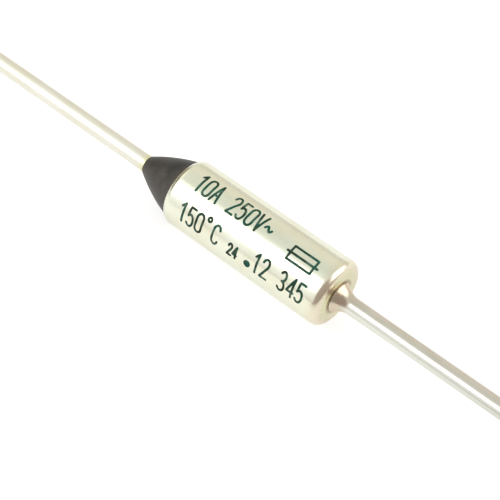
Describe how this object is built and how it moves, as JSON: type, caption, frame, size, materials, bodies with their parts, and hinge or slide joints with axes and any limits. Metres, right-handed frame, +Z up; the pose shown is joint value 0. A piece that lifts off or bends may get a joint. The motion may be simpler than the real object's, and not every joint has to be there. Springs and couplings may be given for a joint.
{
  "type": "thermal fuse",
  "caption": "Axial-lead thermal fuse: a small round metal case with a riveted lead at its closed end and a resin-sealed, insulated lead at the other.",
  "frame": {"origin": "on the case's axis, half way along the case, which is also half way between the two cut ends of the leads", "axes": "+X along the axis, from the isolated lead and its resin towards the closed end and the case lead; +Z up, with the part lying on its side"},
  "size_m": [0.065, 0.004, 0.004],
  "materials": {
    "silver_plated_case": "satin",
    "plated_lead_wire": "satin",
    "black_resin": "satin",
    "bushing_ceramic": "matte",
    "pellet_compound": "matte",
    "disc_steel": "satin",
    "spring_steel": "satin",
    "contact_silver": "satin"
  },
  "bodies": {
    "root": {"case": "silver_plated_case", "case_lead": "plated_lead_wire", "isolated_lead": "plated_lead_wire", "sealing_resin": "black_resin", "ceramic_bushing": "bushing_ceramic", "thermal_pellet": "pellet_compound", "pellet_disc": "disc_steel", "contact_disc": "disc_steel", "compression_spring": "spring_steel", "trip_spring": "spring_steel", "star_contact": "contact_silver"}
  },
  "joints": []
}
